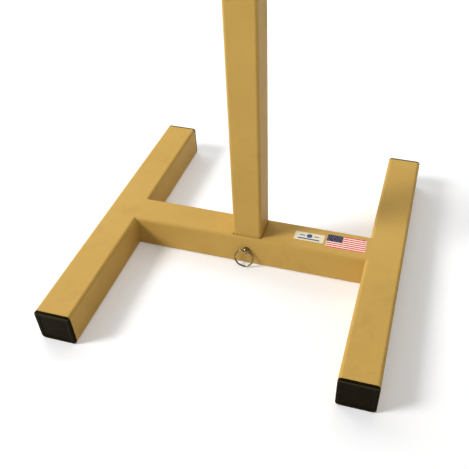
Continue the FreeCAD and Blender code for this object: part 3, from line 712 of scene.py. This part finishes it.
def area_light(name, way, height, distance, size, power):
    """A round soft light, seen from the stand along a compass way and at a height angle."""
    data = bpy.data.lights.new(name, "AREA")
    data.shape = "DISK"
    data.size = size
    data.energy = power
    light = bpy.data.objects.new(name, data)
    bpy.context.scene.collection.objects.link(light)
    flat = Vector((way[0], way[1], 0)).normalized() * math.cos(math.radians(height))
    toward = flat + math.sin(math.radians(height)) * UP
    light.location = LIT_MIDDLE + distance * toward
    light.rotation_mode = "QUATERNION"
    light.rotation_quaternion = toward.to_track_quat("Z", "Y")


LIT_MIDDLE = Vector((0, 0, 0.1))      # what the lights point at
# name, way, height in degrees, distance, size, power
LIGHTS = (
    ("key", (-0.87, -0.49), 38.0, 8.0, 2.6, 505.0),
    ("behind", (0.0, 1.0), 42.0, 4.5, 4.0, 42.0),
    ("above", (0.0, 0.1), 88.0, 4.5, 3.0, 22.0),
    ("behind_left", (-0.8, 0.6), 40.0, 4.5, 3.0, 64.0),
    ("behind_right", (0.8, 0.6), 40.0, 4.5, 3.0, 7.0),
    ("right", (1.0, -0.12), 33.0, 6.5, 4.0, 23.0),
)
FLOOR_GLOW = 0.10          # light that the floor gives
FLOOR_LIFT = 0.12          # extra paleness near the stand, seen by the camera only
FLOOR_FADE = 6.0           # how far out the floor has turned into the backdrop
FLOOR_REACH = 12.0
FLOOR_HEIGHT = -0.2 * MM   # just under the stand
SURROUND = 0.08            # light from above
HORIZON = 0.75             # light from the band low down
HORIZON_BAND = (0.04, 0.12)     # how high, as the sine of the angle, the band fades out
BACKDROP = 0.95            # how pale the camera sees the surround and the far floor


def build_floor():
    """A plain pale floor that fills the view."""
    mesh = bmesh.new()
    mesh.faces.new([mesh.verts.new(Vector((x, y, FLOOR_HEIGHT)))
                    for x, y in rectangle(-FLOOR_REACH, -FLOOR_REACH, FLOOR_REACH, FLOOR_REACH)])
    data = bpy.data.meshes.new("floor")
    mesh.to_mesh(data)
    mesh.free()
    data.materials.append(pale_floor())
    floor = bpy.data.objects.new("floor", data)
    bpy.context.scene.collection.objects.link(floor)


def build_surround():
    """A pale backdrop to the eye, lighting the stand only dimly apart from a band low down."""
    world = bpy.data.worlds.new("surround")
    world.use_nodes = True
    tree = world.node_tree
    direction = tree.nodes.new("ShaderNodeTexCoord").outputs["Generated"]
    split = tree.nodes.new("ShaderNodeSeparateXYZ")
    tree.links.new(direction, split.inputs["Vector"])
    fall = tree.nodes.new("ShaderNodeMapRange")
    tree.links.new(split.outputs["Z"], fall.inputs["Value"])
    band_low, band_high = HORIZON_BAND
    for name, given in (("From Min", band_low), ("From Max", band_high),
                        ("To Min", HORIZON), ("To Max", SURROUND)):
        fall.inputs[name].default_value = given
    seen = tree.nodes.new("ShaderNodeMapRange")
    tree.links.new(tree.nodes.new("ShaderNodeLightPath").outputs["Is Camera Ray"],
                   seen.inputs["Value"])
    tree.links.new(fall.outputs["Result"], seen.inputs["To Min"])
    seen.inputs["To Max"].default_value = BACKDROP
    tree.links.new(seen.outputs["Result"], tree.nodes["Background"].inputs["Strength"])
    tree.nodes["Background"].inputs["Color"].default_value = shade(1.0, 1.0, 1.0)
    bpy.context.scene.world = world


def build_studio():
    """A pale floor, the lights, and a pale backdrop."""
    build_floor()
    for light in LIGHTS:
        area_light(*light)
    build_surround()
    bpy.context.scene.view_settings.view_transform = "Standard"


# ---------------------------------------------------------------- putting it together


def dress_frame(materials):
    """Give every CAD node that stays visible its finished material."""
    slots = {entry["node"]: entry["material_slot"] for entry in frame["record"]["subparts"]}
    for name, node in frame["nodes"].items():
        finish = materials.get(slots[name])
        for index in range(len(node.material_slots)):
            node.material_slots[index].material = finish


build_camera()
paint = powder_coat()
black = cap_plastic()
steel = polished_steel("polished_steel", shade(0.12, 0.090, 0.046), shade(0.35, 0.285, 0.175),
                       0.10, 0.22)
zinc = polished_steel("zinc_steel", shade(0.42, 0.41, 0.38), shade(0.62, 0.62, 0.60), 0.25, 0.40)
spring_steel = polished_steel("spring_wire", shade(0.25, 0.25, 0.24), shade(0.45, 0.45, 0.43),
                              0.25, 0.40)
phenolic = knob_plastic()
flag_white = vinyl("flag_white", shade(0.95, 0.88, 0.78), shade(0.90, 0.81, 0.69))
white_film = vinyl("label_white", shade(0.84, 0.77, 0.58), shade(0.78, 0.69, 0.50))
red_ink = vinyl("label_red", shade(0.74, 0.016, 0.008), shade(0.80, 0.034, 0.018))
blue_ink = vinyl("label_blue", shade(0.022, 0.018, 0.060), shade(0.032, 0.027, 0.080))
slate_ink = vinyl("label_slate", shade(0.045, 0.095, 0.22), shade(0.07, 0.12, 0.25))
grey_ink = vinyl("label_grey", shade(0.10, 0.14, 0.21), shade(0.14, 0.18, 0.24))
dress_frame({
    "gold_powder_coat": paint, "black_plastic": black, "white_label": white_film,
    "flag_label": white_film, "polished_steel": steel, "spring_wire": spring_steel,
    "zinc_steel": zinc, "black_knob": phenolic, "nylon": nylon(),
})
build_caps(black)
build_flag_label(flag_white, red_ink, blue_ink)
build_maker_label(white_film, slate_ink, grey_ink)
build_pull_ring(steel)
build_knob(phenolic)
build_screw(zinc)
build_top_welds(paint)
build_studio()
